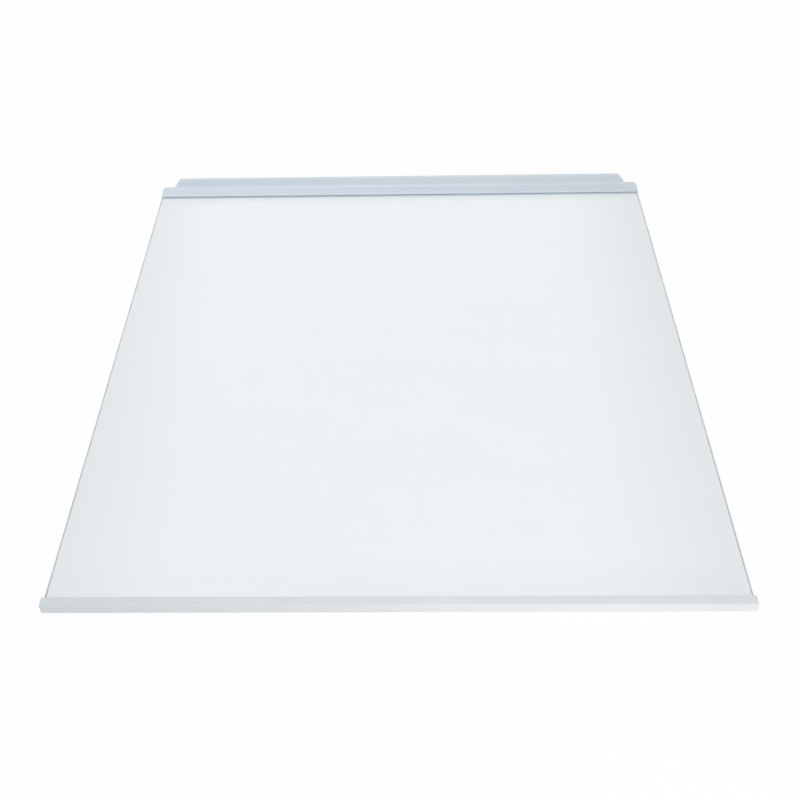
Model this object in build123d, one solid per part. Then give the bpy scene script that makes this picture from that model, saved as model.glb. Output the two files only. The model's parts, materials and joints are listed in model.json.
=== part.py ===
from build123d import *
import os

# Refrigerator glass shelf: a toughened pane pushed into a moulded front trim and an
# extruded rear trim that carries an upstanding lip. Millimetres. +X is to the right,
# +Y to the back of the cabinet, +Z up. The origin is the middle of the shelf's plan,
# on the plane that both trims stand on.

# Whole shelf
SHELF_DEPTH = 448.0
UNDER_THICKNESS = 1.45

# Glass pane
GLASS_WIDTH = 420.0
GLASS_THICKNESS = 4.0
GLASS_CORNER_RADIUS = 3.0
GLASS_ARRIS = 0.5

# Slots that grip the glass, alike in both trims
SLOT_CLEARANCE = 0.2
SLOT_LEAD_IN = 0.4
RIB_CREST = 0.6
RIB_BASE = 1.2
RIB_SETBACK = 1.4
RIB_PITCH = 3.6

# Front trim
FRONT_WALL = 1.8
FRONT_TOP_REACH = 6.8
FRONT_TOP_THICKNESS = 1.45
FRONT_UNDER_REACH = 9.4
FRONT_NOSE_RADIUS = 1.2
FRONT_FOOT_RADIUS = 0.9
FRONT_END_WALL = 1.0
FRONT_END_PLAY = 0.1
FRONT_END_RADIUS = 0.4

# Rear trim
REAR_WALL = 1.8
REAR_TOP_REACH = 13.8
REAR_TOP_THICKNESS = 1.45
REAR_UNDER_REACH = 11.6
REAR_FOOT_CHAMFER = 0.6
REAR_CORNER_RADIUS = 2.4

# Lip that stands up along the rear trim
LIP_HEIGHT = 9.2
LIP_THICKNESS = 2.0
LIP_EDGE_RADIUS = 0.7
LIP_COVE_RADIUS = 2.5
LIP_END_INSET = 9.8
LIP_END_RUN = 6.4
LIP_END_CORNER_RADIUS = 6.0
LIP_END_FOOT_RADIUS = 1.5
SHOULDER_CUT = 0.15

# Small edges, alike in both trims
FLANGE_TIP_RADIUS = 0.6

# Levels and planes that the pieces share
nose_y = -SHELF_DEPTH / 2
back_y = SHELF_DEPTH / 2
front_seat_y = nose_y + FRONT_WALL
rear_seat_y = back_y - REAR_WALL
slot_floor = UNDER_THICKNESS
glass_underside = slot_floor + SLOT_CLEARANCE
glass_top = glass_underside + GLASS_THICKNESS
slot_roof = glass_top + SLOT_CLEARANCE
front_top = slot_roof + FRONT_TOP_THICKNESS
rear_top = slot_roof + REAR_TOP_THICKNESS
lip_top = rear_top + LIP_HEIGHT


def outline(points):
    """A face from the corners of its outline, taken in order."""
    return make_face(Polyline(*points, close=True))


def round_corner(face, corner, radius):
    """The same face with the corner at a point rounded."""
    return fillet(face.vertices().sort_by_distance(Vector(*corner))[0], radius)


def cut_corner(face, corner, length):
    """The same face with the corner at a point cut off."""
    return chamfer(face.vertices().sort_by_distance(Vector(*corner))[0], length)


def along_x(section, length):
    """A solid from a section drawn in Y and Z, centred on the shelf's middle plane."""
    return extrude(Plane.YZ * section, length / 2, both=True)


def slot_section(seat_y, top_tip_y, under_tip_y, out):
    """The space for the glass, flared at the flange tips; out is the way the slot opens in Y."""
    mouth_y = out * (max(out * top_tip_y, out * under_tip_y) + SLOT_LEAD_IN)
    flare = out * SLOT_LEAD_IN
    return outline([
        (seat_y, slot_floor),
        (under_tip_y - flare, slot_floor),
        (under_tip_y, slot_floor - SLOT_LEAD_IN),
        (mouth_y, slot_floor - SLOT_LEAD_IN),
        (mouth_y, slot_roof + SLOT_LEAD_IN),
        (top_tip_y, slot_roof + SLOT_LEAD_IN),
        (top_tip_y - flare, slot_roof),
        (seat_y, slot_roof),
    ])


def grip_ribs(tip_y, out, count, flange_z, glass_z):
    """Sections of the ribs that reach from a flange to the glass, counted in from its tip."""
    base = RIB_BASE / 2
    crest = RIB_CREST / 2
    ribs = Sketch()
    for index in range(count):
        y = tip_y - out * (RIB_SETBACK + index * RIB_PITCH)
        ribs += outline([
            (y - base, flange_z),
            (y + base, flange_z),
            (y + crest, glass_z),
            (y - crest, glass_z),
        ])
    return ribs


def glass_pane():
    """Flat pane with dubbed corners and a ground arris round both faces."""
    depth = rear_seat_y - front_seat_y
    place = Pos(0, (front_seat_y + rear_seat_y) / 2, (glass_underside + glass_top) / 2)
    pane = place * Box(GLASS_WIDTH, depth, GLASS_THICKNESS)
    pane = fillet(pane.edges().filter_by(Axis.Z), GLASS_CORNER_RADIUS)
    return chamfer(pane.faces().filter_by(Axis.Z).edges(), GLASS_ARRIS)


def front_trim():
    """Moulded channel with a rounded nose and closed ends, its lower flange the longer one."""
    top_tip = nose_y + FRONT_TOP_REACH
    under_tip = nose_y + FRONT_UNDER_REACH
    section = outline([
        (nose_y, 0),
        (nose_y, front_top),
        (top_tip, front_top),
        (top_tip, slot_roof),
        (under_tip, slot_floor),
        (under_tip, 0),
    ])
    section = round_corner(section, (nose_y, front_top), FRONT_NOSE_RADIUS)
    section = round_corner(section, (nose_y, 0), FRONT_FOOT_RADIUS)
    section = round_corner(section, (top_tip, front_top), FLANGE_TIP_RADIUS)
    section = round_corner(section, (under_tip, 0), FLANGE_TIP_RADIUS)

    pocket_length = GLASS_WIDTH + 2 * FRONT_END_PLAY
    trim = along_x(section, pocket_length + 2 * FRONT_END_WALL)
    trim = fillet(trim.faces().filter_by(Axis.X).edges(), FRONT_END_RADIUS)
    trim -= along_x(slot_section(front_seat_y, top_tip, under_tip, 1), pocket_length)
    ribs = grip_ribs(top_tip, 1, 1, slot_roof, glass_top)
    ribs += grip_ribs(under_tip, 1, 2, slot_floor, glass_underside)
    return trim + along_x(ribs, pocket_length)


def rear_section():
    """Section of the rear trim: a channel with the lip standing on it."""
    top_tip = back_y - REAR_TOP_REACH
    under_tip = back_y - REAR_UNDER_REACH
    lip_face = back_y - LIP_THICKNESS
    section = outline([
        (back_y, 0),
        (back_y, lip_top),
        (lip_face, lip_top),
        (lip_face, rear_top),
        (top_tip, rear_top),
        (top_tip, slot_roof),
        (under_tip, slot_floor),
        (under_tip, 0),
    ])
    section = cut_corner(section, (back_y, 0), REAR_FOOT_CHAMFER)
    section = round_corner(section, (back_y, lip_top), LIP_EDGE_RADIUS)
    section = round_corner(section, (lip_face, lip_top), LIP_EDGE_RADIUS)
    section = round_corner(section, (lip_face, rear_top), LIP_COVE_RADIUS)
    section = round_corner(section, (top_tip, rear_top), FLANGE_TIP_RADIUS)
    section = round_corner(section, (under_tip, 0), FLANGE_TIP_RADIUS)
    section -= slot_section(rear_seat_y, top_tip, under_tip, -1)
    section += grip_ribs(top_tip, -1, 2, slot_roof, glass_top)
    section += grip_ribs(under_tip, -1, 2, slot_floor, glass_underside)
    return section


def rear_elevation():
    """The rear trim seen from behind: the lip's ends slope down to the milled shoulders."""
    end = GLASS_WIDTH / 2
    foot = end - LIP_END_INSET
    crest = foot - LIP_END_RUN
    shoulder = rear_top - SHOULDER_CUT
    elevation = outline([
        (-end, 0),
        (-end, shoulder),
        (-foot, shoulder),
        (-crest, lip_top),
        (crest, lip_top),
        (foot, shoulder),
        (end, shoulder),
        (end, 0),
    ])
    for side in (-1, 1):
        elevation = round_corner(elevation, (side * crest, lip_top), LIP_END_CORNER_RADIUS)
        elevation = round_corner(elevation, (side * foot, shoulder), LIP_END_FOOT_RADIUS)
    return elevation


def rear_plan():
    """The rear trim seen from above: its back corners are rounded."""
    end = GLASS_WIDTH / 2
    plan = outline([(-end, 0), (end, 0), (end, back_y), (-end, back_y)])
    for side in (-1, 1):
        plan = round_corner(plan, (side * end, back_y), REAR_CORNER_RADIUS)
    return plan


def rear_trim():
    """Extruded channel with open ends, its lip milled back and its back corners rounded."""
    trim = along_x(rear_section(), GLASS_WIDTH)
    trim &= extrude(Plane.XZ * rear_elevation(), SHELF_DEPTH, both=True)
    return trim & extrude(rear_plan(), 2 * lip_top, both=True)


os.makedirs("parts", exist_ok=True)
export_step(glass_pane(), "parts/glass_pane.step")
export_step(front_trim(), "parts/front_trim.step")
export_step(rear_trim(), "parts/rear_trim.step")
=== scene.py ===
"""Glass refrigerator shelf: a toughened pane held by a moulded front trim and an extruded rear trim."""

import json
import math

import bmesh
import bpy
from mathutils import Matrix, Vector


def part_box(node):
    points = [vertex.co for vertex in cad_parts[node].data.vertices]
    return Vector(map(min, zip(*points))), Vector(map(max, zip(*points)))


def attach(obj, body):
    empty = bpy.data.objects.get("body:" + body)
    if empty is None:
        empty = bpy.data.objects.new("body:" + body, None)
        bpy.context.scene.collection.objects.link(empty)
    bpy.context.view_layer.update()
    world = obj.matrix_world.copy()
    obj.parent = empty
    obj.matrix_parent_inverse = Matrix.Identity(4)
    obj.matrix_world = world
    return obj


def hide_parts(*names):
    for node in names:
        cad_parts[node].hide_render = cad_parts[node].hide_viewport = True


bl_info = {
    "name": "Glass refrigerator shelf",
    "version": (1, 0, 0),
    "blender": (4, 5, 0),
    "location": "3D View > Sidebar > Glass shelf",
    "description": "Builds a glass refrigerator shelf with both its trims, and a studio to show it in",
    "category": "Add Mesh",
}

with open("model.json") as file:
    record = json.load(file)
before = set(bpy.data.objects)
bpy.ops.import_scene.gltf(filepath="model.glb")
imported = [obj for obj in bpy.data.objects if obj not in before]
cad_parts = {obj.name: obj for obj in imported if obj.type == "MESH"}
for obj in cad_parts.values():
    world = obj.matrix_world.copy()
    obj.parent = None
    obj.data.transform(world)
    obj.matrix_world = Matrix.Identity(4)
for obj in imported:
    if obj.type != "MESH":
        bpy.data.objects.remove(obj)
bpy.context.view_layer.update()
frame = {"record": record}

# Places and finishes that the frame gives, in metres
GLASS_LOW, GLASS_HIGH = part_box("glass_pane")
FRONT_LOW, FRONT_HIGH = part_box("front_trim")
REAR_LOW, REAR_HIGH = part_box("rear_trim")
FINISH = {material["slot"]: material["base_color"][:3] for material in frame["record"]["materials"]}

# How finely round edges are divided, and the angle up to which faces are shaded as one
EDGE_STEPS = 6
CORNER_STEPS = 10
BROKEN_EDGE_STEPS = 2
SMOOTH_ANGLE = math.radians(32)

# How near a point counts as being at a place, and how near two points are merged
NEAR = 0.00001
MERGE_DISTANCE = 0.000002

# How nearly upright the normal of a level face is, and the size of the plane that an outline starts from
LEVEL_FACE = 0.99
START_SIZE = 0.001

# How far cutting shapes reach past what they cut, and rise in their middle so as not to lie in its faces
CUT_MARGIN = 0.0025
CUT_RISE = 0.00015

# Faces that meet are kept this far apart, so that neither flickers through the other
CONTACT_EASE = 0.00002

# The overhead panel: its height, its middle in Y, where it fades out and where it is brighter
PANEL_HEIGHT = 1.0
PANEL_MIDDLE = 0.7
PANEL_FADE = (0.3, 0.68)
PANEL_FLARE = 0.05
PANEL_ENDS = (1.7, 2.3)
PANEL_NEAR = (0.05, 0.4)

# The walls that the glass mirrors: how steeply they are looked up at, and their levels from low to high
WALL_FADE = (0.3, 0.62)
WALL_LEVELS = (0.86, 0.16)

# Share of the floor's light on matt surfaces that comes from the floor itself, as from a light table
TABLE_GLOW = 0.5

# Share of plain white in the floor that shows through the glass, and the distance over which all turns white
TABLE_THROUGH_GLASS = 0.7
TABLE_FADE = (0.35, 0.9)

# The lamps: where each stands, what it is aimed at, how wide it is and the angle that its grid leaves open
KEY_PLACE = Vector((0.5, -1.05, 0.27))
KEY_AIM = Vector((0.1, FRONT_LOW.y, 0.0))
KEY_BEAM = (0.12, math.radians(44))
LIP_PLACE = Vector((0.6, -0.7, 0.33))
LIP_AIM = Vector((0.16, REAR_HIGH.y, REAR_HIGH.z / 2))
LIP_BEAM = (0.12, math.radians(30))
SIDE_PLACE = Vector((-0.5, -0.126, 0.64))
SIDE_AIM = Vector((-0.2, REAR_HIGH.y, 0.0))
SIDE_BEAM = (0.2, math.radians(46))
WARM_WHITE = (1.0, 0.9, 0.85)
PLAIN_WHITE = (1.0, 1.0, 1.0)

# Share of the light that each face of the glass lets through to what lies below it
PASSING_LIGHT = (0.965, 0.97, 0.975)

# How strongly both materials bend light
GLASS_IOR = 1.52
PLASTIC_IOR = 1.48

# The plastic: shares of its colour, steps either side of its roughness, and the depth of its skin
PLASTIC_TONES = (0.985, 1.015)
PLASTIC_ROUGH_STEPS = (-0.04, 0.05)
SKIN_DEPTH = 0.0001

# The glass: tones and roughness of the ground edges, and of the wipe marks on the faces
GROUND_TONES = (0.97, 1.03)
GROUND_ROUGH = (0.42, 0.55)
WIPED_TONE = 0.992
WIPED_ROUGH = 0.012

# The floor: its size, its level just below the shelf, and its tones
FLOOR_SIZE = 12.0
FLOOR_LEVEL = -0.0002
FLOOR_TONES = (0.95, 0.97)


class GlassPaneSettings(bpy.types.PropertyGroup):
    """Sizes and colours of the glass pane"""

    corner_radius: bpy.props.FloatProperty(
        name="Corner radius",
        description="Radius that the four corners of the pane are dubbed to",
        default=0.003,
        min=0.0005,
        unit="LENGTH",
    )
    arris: bpy.props.FloatProperty(
        name="Arris",
        description="Width of the ground chamfer round both faces",
        default=0.0005,
        min=0.0001,
        unit="LENGTH",
    )
    tint: bpy.props.FloatVectorProperty(
        name="Tint",
        description="Colour that light takes on in passing through the pane",
        default=FINISH["toughened_glass"],
        min=0.0,
        max=1.0,
        subtype="COLOR",
    )
    edge_tint: bpy.props.FloatVectorProperty(
        name="Edge tint",
        description="Colour of the ground edges",
        default=(0.68, 0.715, 0.705),
        min=0.0,
        max=1.0,
        subtype="COLOR",
    )


class SlotSettings(bpy.types.PropertyGroup):
    """Sizes of the slots that grip the glass, alike in both trims"""

    clearance: bpy.props.FloatProperty(
        name="Clearance",
        description="Gap between each face of the glass and the slot",
        default=0.0002,
        min=0.00005,
        unit="LENGTH",
    )
    lead_in: bpy.props.FloatProperty(
        name="Lead-in",
        description="Width of the flare at the slot's mouth",
        default=0.0004,
        min=0.0,
        unit="LENGTH",
    )
    rib_base: bpy.props.FloatProperty(
        name="Rib base",
        description="Width of a grip rib where it leaves the flange",
        default=0.0012,
        min=0.0002,
        unit="LENGTH",
    )
    rib_crest: bpy.props.FloatProperty(
        name="Rib crest",
        description="Width of a grip rib where it meets the glass",
        default=0.0006,
        min=0.0001,
        unit="LENGTH",
    )
    rib_setback: bpy.props.FloatProperty(
        name="Rib setback",
        description="Distance of the first grip rib from the flange tip",
        default=0.0014,
        min=0.0007,
        unit="LENGTH",
    )
    rib_pitch: bpy.props.FloatProperty(
        name="Rib pitch",
        description="Distance from one grip rib to the next",
        default=0.0036,
        min=0.0013,
        unit="LENGTH",
    )


class FrontTrimSettings(bpy.types.PropertyGroup):
    """Sizes and colour of the front trim"""

    top_reach: bpy.props.FloatProperty(
        name="Top reach",
        description="Depth of the flange over the glass, from the nose",
        default=0.0068,
        min=0.003,
        unit="LENGTH",
    )
    nose_radius: bpy.props.FloatProperty(
        name="Nose radius",
        description="Radius of the upper front edge",
        default=0.0012,
        min=0.0002,
        unit="LENGTH",
    )
    foot_radius: bpy.props.FloatProperty(
        name="Foot radius",
        description="Radius of the lower front edge",
        default=0.0009,
        min=0.0002,
        unit="LENGTH",
    )
    tip_radius: bpy.props.FloatProperty(
        name="Tip radius",
        description="Radius of the flange tips",
        default=0.0006,
        min=0.0002,
        unit="LENGTH",
    )
    end_wall: bpy.props.FloatProperty(
        name="End wall",
        description="Thickness of the walls that close the ends",
        default=0.001,
        min=0.0006,
        unit="LENGTH",
    )
    end_radius: bpy.props.FloatProperty(
        name="End radius",
        description="Radius of the edges round both ends",
        default=0.0004,
        min=0.0001,
        unit="LENGTH",
    )
    colour: bpy.props.FloatVectorProperty(
        name="Colour",
        description="Colour of the moulded plastic",
        default=FINISH["front_plastic"],
        min=0.0,
        max=1.0,
        subtype="COLOR",
    )


class RearTrimSettings(bpy.types.PropertyGroup):
    """Sizes and colour of the rear trim"""

    top_thickness: bpy.props.FloatProperty(
        name="Top flange",
        description="Thickness of the flange over the glass",
        default=0.00145,
        min=0.0008,
        unit="LENGTH",
    )
    under_reach: bpy.props.FloatProperty(
        name="Under reach",
        description="Depth of the flange under the glass, from the back",
        default=0.0116,
        min=0.003,
        unit="LENGTH",
    )
    foot_chamfer: bpy.props.FloatProperty(
        name="Foot chamfer",
        description="Width of the chamfer along the lower back edge",
        default=0.0006,
        min=0.0001,
        unit="LENGTH",
    )
    tip_radius: bpy.props.FloatProperty(
        name="Tip radius",
        description="Radius of the flange tips",
        default=0.0006,
        min=0.0002,
        unit="LENGTH",
    )
    back_radius: bpy.props.FloatProperty(
        name="Back corner radius",
        description="Radius of the upright corners at the back of both ends",
        default=0.0024,
        min=0.0002,
        unit="LENGTH",
    )
    lip_thickness: bpy.props.FloatProperty(
        name="Lip thickness",
        description="Thickness of the lip that stands up along the back",
        default=0.002,
        min=0.0015,
        unit="LENGTH",
    )
    lip_edge_radius: bpy.props.FloatProperty(
        name="Lip edge radius",
        description="Radius of both edges along the top of the lip",
        default=0.0007,
        min=0.0002,
        unit="LENGTH",
    )
    cove_radius: bpy.props.FloatProperty(
        name="Cove radius",
        description="Radius of the hollow between the lip and the flange",
        default=0.0025,
        min=0.0002,
        unit="LENGTH",
    )
    lip_inset: bpy.props.FloatProperty(
        name="Lip inset",
        description="Length of the shoulder between the trim's end and the lip's foot",
        default=0.0098,
        min=0.002,
        unit="LENGTH",
    )
    lip_run: bpy.props.FloatProperty(
        name="Lip run",
        description="Length over which the lip's end slopes up to full height",
        default=0.0064,
        min=0.001,
        unit="LENGTH",
    )
    lip_corner_radius: bpy.props.FloatProperty(
        name="Lip corner radius",
        description="Radius of the upper corner at each end of the lip",
        default=0.006,
        min=0.0002,
        unit="LENGTH",
    )
    lip_foot_radius: bpy.props.FloatProperty(
        name="Lip foot radius",
        description="Radius of the hollow where the lip's end meets the shoulder",
        default=0.0015,
        min=0.0002,
        unit="LENGTH",
    )
    shoulder_cut: bpy.props.FloatProperty(
        name="Shoulder cut",
        description="Depth that the shoulders are milled below the flange",
        default=0.00015,
        min=0.00005,
        unit="LENGTH",
    )
    cut_edge: bpy.props.FloatProperty(
        name="Cut edge",
        description="Width of the broken edge left where the extrusion is cut",
        default=0.00015,
        min=0.00002,
        unit="LENGTH",
    )
    colour: bpy.props.FloatVectorProperty(
        name="Colour",
        description="Colour of the extruded plastic",
        default=FINISH["rear_plastic"],
        min=0.0,
        max=1.0,
        subtype="COLOR",
    )


class StudioSettings(bpy.types.PropertyGroup):
    """Camera, floor and lamps"""

    camera_place: bpy.props.FloatVectorProperty(
        name="Camera place",
        description="Where the camera stands",
        default=(0.00891, -0.58079, 0.52168),
        subtype="TRANSLATION",
        unit="LENGTH",
    )
    camera_yaw: bpy.props.FloatProperty(
        name="Camera yaw",
        description="Turn of the camera to the left",
        default=math.radians(1.803),
        subtype="ANGLE",
    )
    camera_pitch: bpy.props.FloatProperty(
        name="Camera pitch",
        description="Tilt of the camera below the horizon",
        default=math.radians(44.157),
        subtype="ANGLE",
    )
    camera_roll: bpy.props.FloatProperty(
        name="Camera roll",
        description="Lean of the camera to the right",
        default=math.radians(1.655),
        subtype="ANGLE",
    )
    camera_lens: bpy.props.FloatProperty(
        name="Focal length",
        description="Focal length in millimetres on a 36 mm sensor",
        default=47.25,
        min=10.0,
    )
    camera_shift: bpy.props.FloatProperty(
        name="Camera shift",
        description="Sideways shift of the picture, as a share of its width",
        default=0.017,
    )
    floor_white: bpy.props.FloatProperty(
        name="Floor white",
        description="How much of the floor that the camera sees is plain white, the rest takes shadow",
        default=0.92,
        min=0.0,
        max=1.0,
        subtype="FACTOR",
    )
    panel_level: bpy.props.FloatProperty(
        name="Panel level",
        description="Brightness of the overhead panel in its middle, where 1 is white",
        default=1.19,
        min=0.0,
    )
    panel_gain: bpy.props.FloatProperty(
        name="Panel gain",
        description="How much brighter the panel is over the near part of the shelf",
        default=1.75,
        min=0.0,
    )
    panel_lean: bpy.props.FloatProperty(
        name="Panel lean",
        description="How far the middle of the panel stands to the right",
        default=-0.035,
        unit="LENGTH",
    )
    key_power: bpy.props.FloatProperty(
        name="Key power",
        description="Power of the low lamp at the front right, on the front trim",
        default=0.23,
        min=0.0,
        unit="POWER",
    )
    lip_power: bpy.props.FloatProperty(
        name="Lip power",
        description="Power of the lamp at the front right, on the rear trim's lip",
        default=0.035,
        min=0.0,
        unit="POWER",
    )
    side_power: bpy.props.FloatProperty(
        name="Side power",
        description="Power of the lamp at the left, on the rear trim",
        default=0.064,
        min=0.0,
        unit="POWER",
    )
    fill_level: bpy.props.FloatProperty(
        name="Fill level",
        description="Brightness of the light from all round, where 1 is white",
        default=0.384,
        min=0.0,
    )


# Modelling steps


def only(piece):
    """Makes a piece the one selected and active object."""
    bpy.ops.object.select_all(action="DESELECT")
    piece.select_set(True)
    bpy.context.view_layer.objects.active = piece


def enter(piece, kind):
    """Opens a piece in edit mode with nothing selected; kind is VERT, EDGE or FACE."""
    only(piece)
    bpy.ops.object.mode_set(mode="EDIT")
    bpy.ops.mesh.select_mode(type=kind)
    bpy.ops.mesh.select_all(action="DESELECT")
    return bmesh.from_edit_mesh(piece.data)


def leave():
    """Closes edit mode."""
    bpy.ops.object.mode_set(mode="OBJECT")


def take_up(name):
    """Puts the active object's place into its mesh and names it."""
    bpy.ops.object.transform_apply(location=True, rotation=True, scale=True)
    piece = bpy.context.object
    piece.name = name
    piece.data.name = name
    return piece


def trace_outline(name, corners):
    """A flat face traced from corner to corner, starting from a single point."""
    bpy.ops.object.select_all(action="DESELECT")
    bpy.ops.mesh.primitive_plane_add(size=START_SIZE, enter_editmode=True, location=corners[0])
    bpy.ops.mesh.select_mode(type="VERT")
    bpy.ops.mesh.select_all(action="SELECT")
    bpy.ops.mesh.merge(type="CENTER")
    for here, there in zip(corners, corners[1:]):
        bpy.ops.mesh.extrude_region_move(TRANSFORM_OT_translate={"value": there - here})
    bpy.ops.mesh.select_all(action="SELECT")
    bpy.ops.mesh.edge_face_add()
    leave()
    return take_up(name)


def trace_section(name, points, x):
    """An outline drawn in Y and Z, standing at a place along the shelf's width."""
    return trace_outline(name, [Vector((x, y, z)) for y, z in points])


def trace_elevation(name, points, y):
    """An outline drawn in X and Z, standing at a place along the shelf's depth."""
    return trace_outline(name, [Vector((x, y, z)) for x, z in points])


def round_corner(piece, corner, reach, steps=EDGE_STEPS):
    """Rounds one corner of a traced outline; reach is how far along its sides the round begins."""
    mesh = enter(piece, "VERT")
    nearest = min(mesh.verts, key=lambda vertex: (vertex.co - corner).length)
    nearest.select_set(True)
    mesh.select_flush_mode()
    bmesh.update_edit_mesh(piece.data)
    bpy.ops.mesh.bevel(offset=reach, segments=steps, affect="VERTICES", clamp_overlap=False)
    leave()


def draw_out(piece, step):
    """Draws a traced outline out into a solid."""
    enter(piece, "FACE")
    bpy.ops.mesh.select_all(action="SELECT")
    bpy.ops.mesh.extrude_region_move(TRANSFORM_OT_translate={"value": step})
    bpy.ops.mesh.select_all(action="SELECT")
    bpy.ops.mesh.normals_make_consistent(inside=False)
    leave()


def bevel_edges(piece, chosen, width, steps):
    """Rounds or chamfers the edges whose two end points pass a test."""
    mesh = enter(piece, "EDGE")
    for edge in mesh.edges:
        if chosen(edge.verts[0].co, edge.verts[1].co):
            edge.select_set(True)
    bmesh.update_edit_mesh(piece.data)
    bpy.ops.mesh.bevel(offset=width, segments=steps, affect="EDGES", clamp_overlap=False)
    leave()


def combine(piece, tool, operation):
    """Cuts a piece with another, which is used up."""
    only(piece)
    bpy.ops.object.modifier_add(type="BOOLEAN")
    modifier = piece.modifiers[-1]
    modifier.operation = operation
    modifier.solver = "EXACT"
    modifier.object = tool
    bpy.ops.object.modifier_apply(modifier=modifier.name)
    bpy.data.objects.remove(tool)


def break_sharp_edges(piece, width):
    """Takes the sharpness off every hard edge that is left."""
    only(piece)
    bpy.ops.object.modifier_add(type="BEVEL")
    modifier = piece.modifiers[-1]
    modifier.width = width
    modifier.segments = BROKEN_EDGE_STEPS
    modifier.limit_method = "ANGLE"
    modifier.angle_limit = SMOOTH_ANGLE
    bpy.ops.object.modifier_apply(modifier=modifier.name)


def close_up(piece):
    """Merges doubles, turns the faces outwards and smooths all but the hard edges."""
    enter(piece, "VERT")
    bpy.ops.mesh.select_all(action="SELECT")
    bpy.ops.mesh.remove_doubles(threshold=MERGE_DISTANCE)
    bpy.ops.mesh.normals_make_consistent(inside=False)
    leave()
    only(piece)
    bpy.ops.object.shade_smooth_by_angle(angle=SMOOTH_ANGLE)
    bpy.ops.object.modifier_add(type="WEIGHTED_NORMAL")
    modifier = piece.modifiers[-1]
    modifier.keep_sharp = True
    bpy.ops.object.modifier_apply(modifier=modifier.name)


def hand_over(piece, node):
    """Lets a finished piece stand for its CAD node."""
    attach(piece, "root")
    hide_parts(node)


# Slots


def slot_levels(slot):
    """The levels of a slot's floor and roof."""
    return GLASS_LOW.z - slot.clearance, GLASS_HIGH.z + slot.clearance


def rib_notches(slot, tip, out, count, flange, glass):
    """Corners that leave grip ribs standing on a flange, from the slot's seat to its mouth."""
    crest_level = glass + math.copysign(CONTACT_EASE, flange - glass)
    corners = []
    for index in reversed(range(count)):
        middle = tip - out * (slot.rib_setback + index * slot.rib_pitch)
        corners.append((middle - out * slot.rib_base / 2, flange))
        corners.append((middle - out * slot.rib_crest / 2, crest_level))
        corners.append((middle + out * slot.rib_crest / 2, crest_level))
        corners.append((middle + out * slot.rib_base / 2, flange))
    return corners


def slot_space(slot, seat, top_tip, under_tip, out, ribs_above, ribs_below, left, right):
    """The space for the glass, with room left for the ribs; out is the way the slot opens in Y."""
    floor, roof = slot_levels(slot)
    flare = out * slot.lead_in
    mouth = out * max(out * top_tip, out * under_tip) + flare
    seat -= out * CONTACT_EASE
    below = rib_notches(slot, under_tip, out, ribs_below, floor, GLASS_LOW.z)
    above = rib_notches(slot, top_tip, out, ribs_above, roof, GLASS_HIGH.z)
    points = [(seat, floor)]
    points += below
    points += [
        (under_tip - flare, floor),
        (under_tip, floor - slot.lead_in),
        (mouth, floor - slot.lead_in),
        (mouth, roof + slot.lead_in),
        (top_tip, roof + slot.lead_in),
        (top_tip - flare, roof),
    ]
    points += reversed(above)
    points += [(seat, roof)]
    space = trace_section("slot_space", points, left)
    draw_out(space, Vector((right - left, 0, 0)))
    return space


# Materials


def new_material(name):
    """A material with a Principled BSDF, and the tree and shader to work on."""
    material = bpy.data.materials.new(name)
    material.use_nodes = True
    tree = material.node_tree
    shader = tree.nodes["Principled BSDF"]
    return material, tree, shader


def new_group(name, inputs, outputs):
    """An empty shader node group with named sockets; inputs carry their defaults."""
    group = bpy.data.node_groups.new(name, "ShaderNodeTree")
    for label, default in inputs.items():
        socket = group.interface.new_socket(name=label, in_out="INPUT", socket_type="NodeSocketFloat")
        socket.default_value = default
    for label in outputs:
        group.interface.new_socket(name=label, in_out="OUTPUT", socket_type="NodeSocketFloat")
    entry = group.nodes.new("NodeGroupInput")
    result = group.nodes.new("NodeGroupOutput")
    return group, entry, result


def feed(tree, value, socket):
    """Links a socket to another one, or sets it to a plain value."""
    if isinstance(value, bpy.types.NodeSocket):
        tree.links.new(value, socket)
    else:
        socket.default_value = value


def compute(tree, operation, *values):
    """A Math node on numbers and sockets."""
    node = tree.nodes.new("ShaderNodeMath")
    node.operation = operation
    for value, socket in zip(values, node.inputs):
        feed(tree, value, socket)
    return node.outputs["Value"]


def noise(tree, place, scale, detail):
    """A noise texture on a vector."""
    node = tree.nodes.new("ShaderNodeTexNoise")
    node.inputs["Detail"].default_value = detail
    tree.links.new(place, node.inputs["Vector"])
    feed(tree, scale, node.inputs["Scale"])
    return node.outputs["Fac"]


def spread(tree, value, low, high, from_low=0.3, from_high=0.7):
    """A value stretched from one range to another."""
    node = tree.nodes.new("ShaderNodeMapRange")
    node.inputs["From Min"].default_value = from_low
    node.inputs["From Max"].default_value = from_high
    feed(tree, low, node.inputs["To Min"])
    feed(tree, high, node.inputs["To Max"])
    tree.links.new(value, node.inputs["Value"])
    return node.outputs["Result"]


def blend(tree, factor, first, second):
    """A value that goes from one to another with a factor."""
    node = tree.nodes.new("ShaderNodeMix")
    feed(tree, factor, node.inputs["Factor"])
    feed(tree, first, node.inputs["A"])
    feed(tree, second, node.inputs["B"])
    return node.outputs["Result"]


def blend_shaders(tree, factor, first, second):
    """A shader that goes from one to another with a factor."""
    node = tree.nodes.new("ShaderNodeMixShader")
    feed(tree, factor, node.inputs["Fac"])
    tree.links.new(first, node.inputs[1])
    tree.links.new(second, node.inputs[2])
    return node.outputs["Shader"]


def show(tree, shader):
    """Puts a shader on the surface of its material."""
    tree.links.new(shader, tree.nodes["Material Output"].inputs["Surface"])


def shelf_group(name):
    """The node group of a name, made the first time it is asked for."""
    group = bpy.data.node_groups.get(name)
    if group is None:
        group = GROUP_MAKERS[name](name)
    return group


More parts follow.
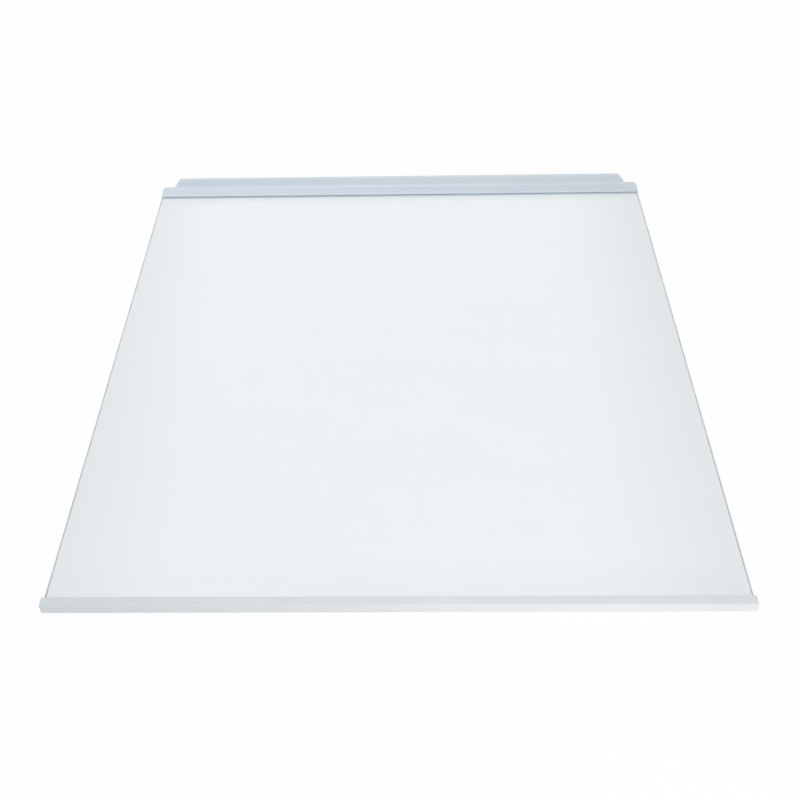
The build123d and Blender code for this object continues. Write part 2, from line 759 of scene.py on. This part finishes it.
def make_fine_skin(name):
    """Slow drifts of tone, a fine skin and its roughness, drawn out along X by a stretch."""
    inputs = {"Grain Scale": 1800.0, "Stretch": 1.0, "Rough Low": 0.3, "Rough High": 0.4}
    group, entry, result = new_group(name, inputs, ("Tone", "Roughness", "Height"))
    place = group.nodes.new("ShaderNodeTexCoord").outputs["Object"]
    along = group.nodes.new("ShaderNodeCombineXYZ")
    along.inputs["Y"].default_value = 1.0
    along.inputs["Z"].default_value = 1.0
    group.links.new(entry.outputs["Stretch"], along.inputs["X"])
    drawn = group.nodes.new("ShaderNodeVectorMath")
    drawn.operation = "MULTIPLY"
    group.links.new(place, drawn.inputs[0])
    group.links.new(along.outputs["Vector"], drawn.inputs[1])
    grain = noise(group, drawn.outputs["Vector"], entry.outputs["Grain Scale"], detail=3.0)
    drift = noise(group, drawn.outputs["Vector"], scale=35.0, detail=2.0)
    rough = spread(group, drift, entry.outputs["Rough Low"], entry.outputs["Rough High"])
    group.links.new(spread(group, drift, 0.0, 1.0), result.inputs["Tone"])
    group.links.new(rough, result.inputs["Roughness"])
    group.links.new(grain, result.inputs["Height"])
    return group


def make_wipe_marks(name):
    """Faint smears left by a cloth, as a mask."""
    group, entry, result = new_group(name, {"Scale": 9.0}, ("Mask",))
    place = group.nodes.new("ShaderNodeTexCoord").outputs["Object"]
    turned = group.nodes.new("ShaderNodeMapping")
    turned.inputs["Rotation"].default_value = (0.0, 0.0, math.radians(24))
    turned.inputs["Scale"].default_value = (1.0, 3.0, 1.0)
    group.links.new(place, turned.inputs["Vector"])
    smear = noise(group, turned.outputs["Vector"], entry.outputs["Scale"], detail=4.0)
    mask = spread(group, smear, 0.0, 1.0, from_low=0.45, from_high=0.75)
    group.links.new(mask, result.inputs["Mask"])
    return group


GROUP_MAKERS = {"fine skin": make_fine_skin, "wipe marks": make_wipe_marks}


def place_group(tree, name, **values):
    """A node group placed in a material with its own values."""
    node = tree.nodes.new("ShaderNodeGroup")
    node.node_tree = shelf_group(name)
    for label, value in values.items():
        node.inputs[label.replace("_", " ")].default_value = value
    return node


def two_tones(tree, mask, first, second):
    """A colour that goes from one tone to another with a mask."""
    node = tree.nodes.new("ShaderNodeMix")
    node.data_type = "RGBA"
    node.inputs["A"].default_value = (*first, 1.0)
    node.inputs["B"].default_value = (*second, 1.0)
    tree.links.new(mask, node.inputs["Factor"])
    return node.outputs["Result"]


def shade_of(colour, factor):
    """A colour made lighter or darker."""
    return tuple(channel * factor for channel in colour)


def plastic(name, colour, grain_scale, stretch, rough, bump):
    """Satin plastic with a fine skin and slow drifts of tone."""
    material, tree, shader = new_material(name)
    skin = place_group(
        tree,
        "fine skin",
        Grain_Scale=grain_scale,
        Stretch=stretch,
        Rough_Low=rough + PLASTIC_ROUGH_STEPS[0],
        Rough_High=rough + PLASTIC_ROUGH_STEPS[1],
    )
    tones = [shade_of(colour, factor) for factor in PLASTIC_TONES]
    tone = two_tones(tree, skin.outputs["Tone"], *tones)
    tree.links.new(tone, shader.inputs["Base Color"])
    tree.links.new(skin.outputs["Roughness"], shader.inputs["Roughness"])
    relief = tree.nodes.new("ShaderNodeBump")
    relief.inputs["Strength"].default_value = bump
    relief.inputs["Distance"].default_value = SKIN_DEPTH
    tree.links.new(skin.outputs["Height"], relief.inputs["Height"])
    tree.links.new(relief.outputs["Normal"], shader.inputs["Normal"])
    shader.inputs["IOR"].default_value = PLASTIC_IOR
    return material


def let_lamps_through(tree, shader):
    """Lets light from lamps, and light from matt surfaces, go straight on through the glass."""
    path = tree.nodes.new("ShaderNodeLightPath")
    passing = compute(tree, "MAXIMUM", path.outputs["Is Shadow Ray"], path.outputs["Is Diffuse Ray"])
    clear = tree.nodes.new("ShaderNodeBsdfTransparent")
    clear.inputs["Color"].default_value = (*PASSING_LIGHT, 1.0)
    show(tree, blend_shaders(tree, passing, shader.outputs["BSDF"], clear.outputs["BSDF"]))


def polished_glass(tint):
    """Clear faces with faint wipe marks."""
    material, tree, shader = new_material("toughened_glass_face")
    marks = place_group(tree, "wipe marks", Scale=9.0)
    tone = two_tones(tree, marks.outputs["Mask"], tint, shade_of(tint, WIPED_TONE))
    tree.links.new(tone, shader.inputs["Base Color"])
    rough = spread(tree, marks.outputs["Mask"], 0.0, WIPED_ROUGH, from_low=0.0, from_high=1.0)
    tree.links.new(rough, shader.inputs["Roughness"])
    shader.inputs["IOR"].default_value = GLASS_IOR
    shader.inputs["Transmission Weight"].default_value = 1.0
    let_lamps_through(tree, shader)
    return material


def ground_glass(tint):
    """Edges ground with a fine wheel, frosted and a little darker."""
    material, tree, shader = new_material("toughened_glass_edge")
    skin = place_group(
        tree,
        "fine skin",
        Grain_Scale=900.0,
        Stretch=1.0,
        Rough_Low=GROUND_ROUGH[0],
        Rough_High=GROUND_ROUGH[1],
    )
    tones = [shade_of(tint, factor) for factor in GROUND_TONES]
    tone = two_tones(tree, skin.outputs["Tone"], *tones)
    tree.links.new(tone, shader.inputs["Base Color"])
    tree.links.new(skin.outputs["Roughness"], shader.inputs["Roughness"])
    shader.inputs["IOR"].default_value = GLASS_IOR
    shader.inputs["Specular IOR Level"].default_value = 0.0
    shader.inputs["Transmission Weight"].default_value = 0.1
    let_lamps_through(tree, shader)
    return material


# Pieces


class MESH_OT_shelf_glass_pane(bpy.types.Operator):
    """Build the glass pane, with dubbed corners and ground edges"""

    bl_idname = "mesh.shelf_glass_pane"
    bl_label = "Glass pane"

    def execute(self, context):
        pane = context.scene.shelf_glass
        bpy.ops.object.select_all(action="DESELECT")
        middle = (GLASS_LOW + GLASS_HIGH) / 2
        bpy.ops.mesh.primitive_cube_add(size=1.0, location=middle, scale=GLASS_HIGH - GLASS_LOW)
        piece = take_up("glass_sheet")
        bevel_edges(piece, self.upright, pane.corner_radius, CORNER_STEPS)
        bevel_edges(piece, self.round_a_face, pane.arris, 1)
        close_up(piece)
        self.finish(piece, pane)
        hand_over(piece, "glass_pane")
        return {"FINISHED"}

    @staticmethod
    def upright(first, second):
        """True for an edge that runs from the lower face to the upper one."""
        return abs(first.z - second.z) > NEAR

    @staticmethod
    def round_a_face(first, second):
        """True for an edge of the upper or the lower face."""
        return abs(first.z - second.z) < NEAR

    @staticmethod
    def finish(piece, pane):
        """Polishes the two faces and leaves the edges ground."""
        piece.data.materials.append(ground_glass(pane.edge_tint))
        piece.data.materials.append(polished_glass(pane.tint))
        mesh = enter(piece, "FACE")
        for face in mesh.faces:
            face.select_set(abs(face.normal.z) > LEVEL_FACE)
        bmesh.update_edit_mesh(piece.data)
        piece.active_material_index = 1
        bpy.ops.object.material_slot_assign()
        leave()


class MESH_OT_shelf_front_trim(bpy.types.Operator):
    """Build the moulded front trim, a channel with a rounded nose and closed ends"""

    bl_idname = "mesh.shelf_front_trim"
    bl_label = "Front trim"

    def execute(self, context):
        trim = context.scene.shelf_front
        slot = context.scene.shelf_slot
        floor, roof = slot_levels(slot)
        nose = FRONT_LOW.y
        seat = GLASS_LOW.y
        top = FRONT_HIGH.z
        foot = FRONT_LOW.z
        top_tip = nose + trim.top_reach
        under_tip = FRONT_HIGH.y
        left, right = FRONT_LOW.x, FRONT_HIGH.x
        points = [
            (nose, foot),
            (nose, top),
            (top_tip, top),
            (top_tip, roof),
            (under_tip, floor),
            (under_tip, foot),
        ]
        piece = trace_section("front_trim_moulding", points, left)
        round_corner(piece, Vector((left, nose, top)), trim.nose_radius, CORNER_STEPS)
        round_corner(piece, Vector((left, nose, foot)), trim.foot_radius)
        round_corner(piece, Vector((left, top_tip, top)), trim.tip_radius)
        round_corner(piece, Vector((left, under_tip, foot)), trim.tip_radius)
        draw_out(piece, Vector((right - left, 0, 0)))
        bevel_edges(piece, self.round_an_end, trim.end_radius, EDGE_STEPS)
        space = slot_space(
            slot,
            seat,
            top_tip,
            under_tip,
            out=1,
            ribs_above=1,
            ribs_below=2,
            left=left + trim.end_wall,
            right=right - trim.end_wall,
        )
        combine(piece, space, "DIFFERENCE")
        close_up(piece)
        satin = plastic(
            "front_plastic_satin", trim.colour, grain_scale=1800.0, stretch=1.0, rough=0.36, bump=0.06
        )
        piece.data.materials.append(satin)
        hand_over(piece, "front_trim")
        return {"FINISHED"}

    @staticmethod
    def round_an_end(first, second):
        """True for an edge of either end face."""
        ends = (FRONT_LOW.x, FRONT_HIGH.x)
        return any(abs(first.x - end) < NEAR and abs(second.x - end) < NEAR for end in ends)


class MESH_OT_shelf_rear_trim(bpy.types.Operator):
    """Build the extruded rear trim, with its upstanding lip notched back at both ends"""

    bl_idname = "mesh.shelf_rear_trim"
    bl_label = "Rear trim"

    def execute(self, context):
        trim = context.scene.shelf_rear
        slot = context.scene.shelf_slot
        floor, roof = slot_levels(slot)
        back = REAR_HIGH.y
        seat = GLASS_HIGH.y
        tip = REAR_LOW.y
        under_tip = back - trim.under_reach
        foot = REAR_LOW.z
        lip_top = REAR_HIGH.z
        top = roof + trim.top_thickness
        lip_face = back - trim.lip_thickness
        left = REAR_LOW.x - CUT_MARGIN
        right = REAR_HIGH.x + CUT_MARGIN
        points = [
            (back, foot),
            (back, lip_top),
            (lip_face, lip_top),
            (lip_face, top),
            (tip, top),
            (tip, roof),
            (under_tip, floor),
            (under_tip, foot),
        ]
        piece = trace_section("rear_trim_extrusion", points, left)
        round_corner(piece, Vector((left, back, foot)), trim.foot_chamfer, 1)
        round_corner(piece, Vector((left, back, lip_top)), trim.lip_edge_radius)
        round_corner(piece, Vector((left, lip_face, lip_top)), trim.lip_edge_radius)
        round_corner(piece, Vector((left, lip_face, top)), trim.cove_radius, CORNER_STEPS)
        round_corner(piece, Vector((left, tip, top)), trim.tip_radius)
        round_corner(piece, Vector((left, under_tip, foot)), trim.tip_radius)
        draw_out(piece, Vector((right - left, 0, 0)))
        combine(piece, self.elevation(trim, top, lip_top), "INTERSECT")
        combine(piece, self.plan(trim), "INTERSECT")
        space = slot_space(
            slot,
            seat,
            tip,
            under_tip,
            out=-1,
            ribs_above=2,
            ribs_below=2,
            left=left,
            right=right,
        )
        combine(piece, space, "DIFFERENCE")
        break_sharp_edges(piece, trim.cut_edge)
        close_up(piece)
        satin = plastic(
            "rear_plastic_satin", trim.colour, grain_scale=1500.0, stretch=0.02, rough=0.34, bump=0.08
        )
        piece.data.materials.append(satin)
        hand_over(piece, "rear_trim")
        return {"FINISHED"}

    @staticmethod
    def elevation(trim, top, lip_top):
        """The trim seen from behind: the lip's ends slope down to the milled shoulders."""
        shoulder = top - trim.shoulder_cut
        foot = REAR_HIGH.x - trim.lip_inset
        crest = foot - trim.lip_run
        ridge = lip_top + CUT_RISE
        below = REAR_LOW.z - CUT_MARGIN
        beyond = REAR_HIGH.x + 2 * CUT_MARGIN
        y = REAR_LOW.y - CUT_MARGIN
        points = [
            (-beyond, below),
            (-beyond, shoulder),
            (-foot, shoulder),
            (-crest, lip_top),
            (0.0, ridge),
            (crest, lip_top),
            (foot, shoulder),
            (beyond, shoulder),
            (beyond, below),
        ]
        body = trace_elevation("rear_elevation", points, y)
        half_turn = math.atan2(lip_top - shoulder, trim.lip_run) / 2
        crest_reach = trim.lip_corner_radius * math.tan(half_turn)
        foot_reach = trim.lip_foot_radius * math.tan(half_turn)
        for side in (-1, 1):
            round_corner(body, Vector((side * crest, y, lip_top)), crest_reach, CORNER_STEPS)
            round_corner(body, Vector((side * foot, y, shoulder)), foot_reach)
        draw_out(body, Vector((0, REAR_HIGH.y - REAR_LOW.y + 2 * CUT_MARGIN, 0)))
        return body

    @staticmethod
    def plan(trim):
        """The trim seen from above: its ends are cut square and its back corners rounded."""
        end = REAR_HIGH.x
        front = REAR_LOW.y - CUT_MARGIN
        back = REAR_HIGH.y
        ridge = back + CUT_RISE
        below = REAR_LOW.z - CUT_MARGIN
        points = [(-end, front), (end, front), (end, back), (0.0, ridge), (-end, back)]
        body = trace_outline("rear_plan", [Vector((x, y, below)) for x, y in points])
        for side in (-1, 1):
            round_corner(body, Vector((side * end, back, below)), trim.back_radius, CORNER_STEPS)
        draw_out(body, Vector((0, 0, REAR_HIGH.z - REAR_LOW.z + 2 * CUT_MARGIN)))
        return body


# Stage


def soft_step(tree, value, reach, levels):
    """A value that goes smoothly from one level to another over a reach."""
    node = tree.nodes.new("ShaderNodeMapRange")
    node.interpolation_type = "SMOOTHSTEP"
    node.inputs["From Min"].default_value = reach[0]
    node.inputs["From Max"].default_value = reach[1]
    node.inputs["To Min"].default_value = levels[0]
    node.inputs["To Max"].default_value = levels[1]
    tree.links.new(value, node.inputs["Value"])
    return node.outputs["Result"]


def sees_background(tree):
    """One for rays from the camera and for those that glass and gloss send on, else zero."""
    path = tree.nodes.new("ShaderNodeLightPath")
    sent_on = compute(tree, "MAXIMUM", path.outputs["Is Glossy Ray"], path.outputs["Is Transmission Ray"])
    return compute(tree, "MAXIMUM", path.outputs["Is Camera Ray"], sent_on)


def mirrored(tree):
    """One for rays that a surface has mirrored on their way, else zero."""
    path = tree.nodes.new("ShaderNodeLightPath")
    return compute(tree, "MINIMUM", path.outputs["Glossy Depth"], 1.0)


def floor_material(white):
    """Pale light table that shows white but keeps part of its shadow, and is clear from below."""
    material, tree, shader = new_material("studio_floor")
    material.cycles.emission_sampling = "NONE"
    place = tree.nodes.new("ShaderNodeTexCoord").outputs["Object"]
    mottle = noise(tree, place, scale=3.0, detail=2.0)
    tones = [shade_of(PLAIN_WHITE, factor) for factor in FLOOR_TONES]
    tone = two_tones(tree, mottle, *tones)
    tree.links.new(tone, shader.inputs["Base Color"])
    shader.inputs["Roughness"].default_value = 0.9
    shader.inputs["Specular IOR Level"].default_value = 0.0
    path = tree.nodes.new("ShaderNodeLightPath")
    away = tree.nodes.new("ShaderNodeVectorMath")
    away.operation = "LENGTH"
    tree.links.new(place, away.inputs[0])
    open_white = soft_step(tree, away.outputs["Value"], TABLE_FADE, (white, 1.0))
    seen_white = blend(tree, path.outputs["Is Transmission Ray"], open_white, TABLE_THROUGH_GLASS)
    shown = compute(tree, "MULTIPLY", sees_background(tree), seen_white)
    share = compute(tree, "MULTIPLY_ADD", path.outputs["Is Diffuse Ray"], TABLE_GLOW, shown)
    glow = tree.nodes.new("ShaderNodeEmission")
    lit = blend_shaders(tree, share, shader.outputs["BSDF"], glow.outputs["Emission"])
    side = tree.nodes.new("ShaderNodeNewGeometry")
    clear = tree.nodes.new("ShaderNodeBsdfTransparent")
    show(tree, blend_shaders(tree, side.outputs["Backfacing"], lit, clear.outputs["BSDF"]))
    return material


def panel_material(studio):
    """Diffuser that is brighter over the near part of the shelf and fades out towards its edges."""
    material, tree, shader = new_material("overhead_diffuser")
    tree.nodes.remove(shader)
    place = tree.nodes.new("ShaderNodeTexCoord").outputs["Object"]
    split = tree.nodes.new("ShaderNodeSeparateXYZ")
    tree.links.new(place, split.inputs["Vector"])
    x, y = split.outputs["X"], split.outputs["Y"]
    aside = compute(tree, "ABSOLUTE", compute(tree, "SUBTRACT", x, studio.panel_lean))
    flared = compute(tree, "MULTIPLY_ADD", y, -PANEL_FLARE, aside)
    beyond = compute(tree, "ABSOLUTE", compute(tree, "SUBTRACT", y, PANEL_MIDDLE))
    across = soft_step(tree, flared, PANEL_FADE, (1.0, 0.0))
    along = soft_step(tree, beyond, PANEL_ENDS, (1.0, 0.0))
    cover = compute(tree, "MULTIPLY", across, along)
    near_level = studio.panel_level * studio.panel_gain
    glow = tree.nodes.new("ShaderNodeEmission")
    strength = soft_step(tree, y, PANEL_NEAR, (near_level, studio.panel_level))
    tree.links.new(strength, glow.inputs["Strength"])
    dark = tree.nodes.new("ShaderNodeEmission")
    dark.inputs["Strength"].default_value = 0.0
    clear = tree.nodes.new("ShaderNodeBsdfTransparent")
    margin = blend_shaders(tree, mirrored(tree), dark.outputs["Emission"], clear.outputs["BSDF"])
    seen = blend_shaders(tree, cover, margin, glow.outputs["Emission"])
    path = tree.nodes.new("ShaderNodeLightPath")
    straight = compute(tree, "GREATER_THAN", path.outputs["Is Transmission Ray"], mirrored(tree))
    show(tree, blend_shaders(tree, straight, seen, clear.outputs["BSDF"]))
    return material


class SCENE_OT_shelf_stage(bpy.types.Operator):
    """Set up the floor, the lamps and the camera"""

    bl_idname = "scene.shelf_stage"
    bl_label = "Stage"

    def execute(self, context):
        studio = context.scene.shelf_studio
        context.scene.view_settings.view_transform = "Standard"
        self.floor(studio)
        self.panel(studio)
        self.lamp("key_lamp", KEY_PLACE, KEY_AIM, KEY_BEAM, WARM_WHITE, studio.key_power)
        self.lamp("lip_lamp", LIP_PLACE, LIP_AIM, LIP_BEAM, WARM_WHITE, studio.lip_power)
        self.lamp("side_lamp", SIDE_PLACE, SIDE_AIM, SIDE_BEAM, PLAIN_WHITE, studio.side_power)
        self.surroundings(context.scene, studio)
        self.camera(context.scene, studio)
        return {"FINISHED"}

    @staticmethod
    def floor(studio):
        """A wide floor under the shelf."""
        bpy.ops.object.select_all(action="DESELECT")
        bpy.ops.mesh.primitive_plane_add(size=FLOOR_SIZE, location=(0, 0, FLOOR_LEVEL))
        piece = take_up("studio_floor")
        piece.data.materials.append(floor_material(studio.floor_white))

    @staticmethod
    def panel(studio):
        """A long diffuser overhead, which the glass mirrors in its middle."""
        bpy.ops.object.select_all(action="DESELECT")
        middle = (studio.panel_lean, PANEL_MIDDLE, PANEL_HEIGHT)
        bpy.ops.mesh.primitive_plane_add(size=2.0, location=middle)
        half_length = PANEL_ENDS[1]
        half_width = PANEL_FADE[1] + PANEL_FLARE * (PANEL_MIDDLE + half_length)
        bpy.ops.transform.resize(value=(half_width, half_length, 1.0))
        piece = take_up("overhead_diffuser")
        piece.data.materials.append(panel_material(studio))
        piece.visible_camera = False

    @staticmethod
    def lamp(name, place, aim, beam, colour, power):
        """A soft lamp with a grid in front of it, so that little light spills past its aim."""
        bpy.ops.object.light_add(type="AREA", location=place)
        lamp = bpy.context.object
        lamp.name = name
        lamp.data.size, lamp.data.spread = beam
        lamp.data.color = colour
        lamp.data.energy = power
        lamp.visible_camera = False
        lamp.visible_glossy = False
        lamp.visible_transmission = False
        lamp.rotation_euler = (aim - place).to_track_quat("-Z", "Y").to_euler()

    @staticmethod
    def surroundings(scene, studio):
        """Plain white, an even fill for matt surfaces, and walls and a ceiling to be mirrored."""
        world = scene.world or bpy.data.worlds.new("studio")
        scene.world = world
        world.use_nodes = True
        tree = world.node_tree
        tree.nodes.clear()
        direction = tree.nodes.new("ShaderNodeTexCoord").outputs["Generated"]
        split = tree.nodes.new("ShaderNodeSeparateXYZ")
        tree.links.new(direction, split.inputs["Vector"])
        walls = soft_step(tree, split.outputs["Z"], WALL_FADE, WALL_LEVELS)
        shown = blend(tree, mirrored(tree), 1.0, walls)
        level = blend(tree, sees_background(tree), studio.fill_level, shown)
        sky = tree.nodes.new("ShaderNodeBackground")
        sky.inputs["Color"].default_value = (1.0, 1.0, 1.0, 1.0)
        tree.links.new(level, sky.inputs["Strength"])
        output = tree.nodes.new("ShaderNodeOutputWorld")
        tree.links.new(sky.outputs["Background"], output.inputs["Surface"])

    @staticmethod
    def camera(scene, studio):
        """The camera at the viewing angle of the photograph."""
        bpy.ops.object.camera_add(location=studio.camera_place)
        camera = bpy.context.object
        camera.name = "studio_camera"
        camera.data.lens = studio.camera_lens
        camera.data.sensor_width = 36.0
        camera.data.shift_x = studio.camera_shift
        turn = Matrix.Rotation(studio.camera_yaw, 4, "Z")
        tilt = Matrix.Rotation(math.pi / 2 - studio.camera_pitch, 4, "X")
        lean = Matrix.Rotation(-studio.camera_roll, 4, "Z")
        camera.matrix_world = Matrix.Translation(studio.camera_place) @ turn @ tilt @ lean
        scene.camera = camera


class VIEW3D_PT_shelf(bpy.types.Panel):
    """Sidebar panel with the shelf's sizes and the steps that build it"""

    bl_idname = "VIEW3D_PT_shelf"
    bl_label = "Glass shelf"
    bl_space_type = "VIEW_3D"
    bl_region_type = "UI"
    bl_category = "Glass shelf"

    def draw(self, context):
        steps = (
            ("shelf_glass", MESH_OT_shelf_glass_pane),
            ("shelf_slot", None),
            ("shelf_front", MESH_OT_shelf_front_trim),
            ("shelf_rear", MESH_OT_shelf_rear_trim),
            ("shelf_studio", SCENE_OT_shelf_stage),
        )
        for attribute, operator in steps:
            settings = getattr(context.scene, attribute)
            box = self.layout.box()
            for label in settings.__annotations__:
                box.prop(settings, label)
            if operator is not None:
                box.operator(operator.bl_idname)


CLASSES = (
    GlassPaneSettings,
    SlotSettings,
    FrontTrimSettings,
    RearTrimSettings,
    StudioSettings,
    MESH_OT_shelf_glass_pane,
    MESH_OT_shelf_front_trim,
    MESH_OT_shelf_rear_trim,
    SCENE_OT_shelf_stage,
    VIEW3D_PT_shelf,
)

SETTINGS = {
    "shelf_glass": GlassPaneSettings,
    "shelf_slot": SlotSettings,
    "shelf_front": FrontTrimSettings,
    "shelf_rear": RearTrimSettings,
    "shelf_studio": StudioSettings,
}


def register():
    for each in CLASSES:
        bpy.utils.register_class(each)
    for attribute, settings in SETTINGS.items():
        setattr(bpy.types.Scene, attribute, bpy.props.PointerProperty(type=settings))


def unregister():
    for attribute in SETTINGS:
        delattr(bpy.types.Scene, attribute)
    for each in reversed(CLASSES):
        bpy.utils.unregister_class(each)


def main():
    register()
    bpy.ops.mesh.shelf_glass_pane()
    bpy.ops.mesh.shelf_front_trim()
    bpy.ops.mesh.shelf_rear_trim()
    bpy.ops.scene.shelf_stage()


if __name__ == "__main__":
    main()
